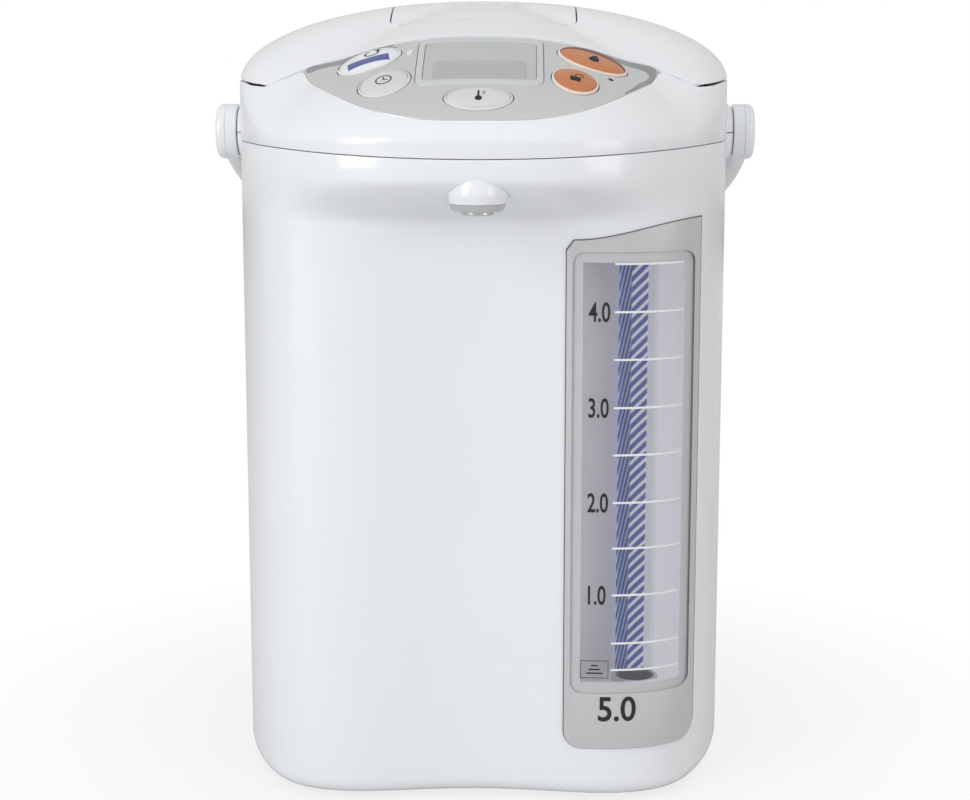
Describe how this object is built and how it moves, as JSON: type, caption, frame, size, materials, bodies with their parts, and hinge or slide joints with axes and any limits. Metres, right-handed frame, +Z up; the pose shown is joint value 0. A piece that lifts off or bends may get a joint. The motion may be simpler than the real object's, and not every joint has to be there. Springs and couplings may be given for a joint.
{
  "type": "electric thermo pot",
  "caption": "Tall white electric thermo pot with a hinged lid, carrying bail, panel buttons, striped level gauge and motor pump spout.",
  "frame": {"origin": "on the floor under the swivel axis, at the middle of the footprint box", "axes": "+Z up, front with spout and panel towards -Y, gauge towards +X"},
  "size_m": [0.2372, 0.278, 0.328],
  "materials": {
    "white_shell": "glossy white moulded plastic",
    "trim_silver": "brushed silver trim",
    "panel_silver": "satin silver-grey panel",
    "bezel_grey": "pale grey bezel",
    "display": "grey-green display glass",
    "orange": "orange button plastic",
    "key_grey": "pale grey key plastic",
    "clear": "clear window and gauge tube",
    "gauge_grey": "grey-mauve lining behind the gauge",
    "strip_print": "printed blue and white strip",
    "steel": "stainless steel sheet and pins",
    "grey_plastic": "pale grey inner plastic",
    "dark_plastic": "dark inner plastic",
    "rubber": "black rubber",
    "silicone": "translucent grey silicone",
    "board_green": "circuit board",
    "contact_gold": "plated contact pins"
  },
  "bodies": {
    "swivel_base": {"swivel_plate": "dark_plastic", "swivel_feet": "rubber", "swivel_clip": "dark_plastic"},
    "pot": {"outer_body": "white_shell", "shoulder": "white_shell", "bottom_cover": "dark_plastic", "cover_screws": "steel", "tank": "steel", "tank_seal": "silicone", "base_heater": "steel", "band_heater": "steel", "thermostat": "dark_plastic", "tank_filter": "steel", "suction_sleeve": "silicone", "pump_housing": "grey_plastic", "pump_cover": "grey_plastic", "pump_motor": "steel", "motor_bracket": "steel", "delivery_hose": "silicone", "gauge_tube": "clear", "gauge_strip": "strip_print", "tube_grommets": "rubber", "gauge_backing": "gauge_grey", "gauge_lens": "clear", "gauge_trim": "trim_silver", "spout_hose": "silicone", "spout_cover": "white_shell", "spout_nozzle": "grey_plastic", "power_board": "board_green", "power_socket": "dark_plastic", "socket_pins": "contact_gold", "control_panel": "panel_silver", "lcd_frame": "bezel_grey", "lcd_window": "display", "lcd_module": "bezel_grey", "control_board": "board_green", "button_switches": "dark_plastic", "pivot_bosses": "white_shell", "hinge_bracket": "white_shell", "hinge_pin": "steel", "latch_strike": "steel"},
    "lid": {"lid_cover": "white_shell", "lid_liner": "grey_plastic", "inner_lid": "steel", "lid_gasket": "silicone", "steam_vent": "grey_plastic", "steam_duct": "grey_plastic", "lever_well": "grey_plastic", "lever_pin": "steel"},
    "lid_lever": {"lid_lever": "white_shell"},
    "lid_latch": {"lid_latch": "grey_plastic"},
    "handle": {"handle": "white_shell", "handle_caps": "white_shell"},
    "reboil_button": {"reboil_button": "white_shell"},
    "timer_button": {"timer_button": "key_grey"},
    "temp_button": {"temp_button": "key_grey"},
    "dispense_button": {"dispense_button": "orange"},
    "unlock_button": {"unlock_button": "orange"},
    "impeller": {"impeller": "grey_plastic"},
    "motor_rotor": {"motor_rotor": "dark_plastic"}
  },
  "joints": [
    {"name": "swivel_turn", "type": "hinge", "parent": "swivel_base", "child": "pot", "pos_m": [0, 0, 0.005], "axis": [0, 0, 1], "continuous": true},
    {"name": "lid_hinge", "type": "hinge", "parent": "pot", "child": "lid", "pos_m": [0, 0.1085, 0.297], "axis": [-1, 0, 0], "range_deg": [0, 80]},
    {"name": "lever_lift", "type": "hinge", "parent": "lid", "child": "lid_lever", "pos_m": [0, 0.0014, 0.3246], "axis": [-1, 0, 0], "range_deg": [0, 35], "stiffness_Nm_per_rad": 0.05},
    {"name": "latch_slide", "type": "slide", "parent": "lid", "child": "lid_latch", "axis": [0, 1, 0], "range_m": [0, 0.004]},
    {"name": "bail_swing", "type": "hinge", "parent": "pot", "child": "handle", "pos_m": [0, 0, 0.271], "axis": [1, 0, 0], "range_deg": [0, 113]},
    {"name": "reboil_press", "type": "slide", "parent": "pot", "child": "reboil_button", "axis": [0.2415, 0.319, -0.9165], "range_m": [0, 0.001], "stiffness_N_per_m": 300},
    {"name": "timer_press", "type": "slide", "parent": "pot", "child": "timer_button", "axis": [0.1737, 0.4304, -0.8858], "range_m": [0, 0.001], "stiffness_N_per_m": 300},
    {"name": "temp_press", "type": "slide", "parent": "pot", "child": "temp_button", "axis": [0, 0.5274, -0.8496], "range_m": [0, 0.001], "stiffness_N_per_m": 300},
    {"name": "dispense_press", "type": "slide", "parent": "pot", "child": "dispense_button", "axis": [-0.2415, 0.319, -0.9165], "range_m": [0, 0.001], "stiffness_N_per_m": 300},
    {"name": "unlock_press", "type": "slide", "parent": "pot", "child": "unlock_button", "axis": [-0.1745, 0.4251, -0.8882], "range_m": [0, 0.001], "stiffness_N_per_m": 300},
    {"name": "rotor_spin", "type": "hinge", "parent": "pot", "child": "motor_rotor", "pos_m": [0, -0.056, 0.02], "axis": [0, 0, 1], "continuous": true},
    {"name": "impeller_spin", "type": "hinge", "parent": "pot", "child": "impeller", "pos_m": [0, -0.056, 0.032], "axis": [0, 0, 1], "continuous": true}
  ],
  "couplings": [
    {"joint": "latch_slide", "follows": "lever_lift", "m_per_rad": 0.006548},
    {"joint": "impeller_spin", "follows": "rotor_spin", "ratio": 1}
  ]
}
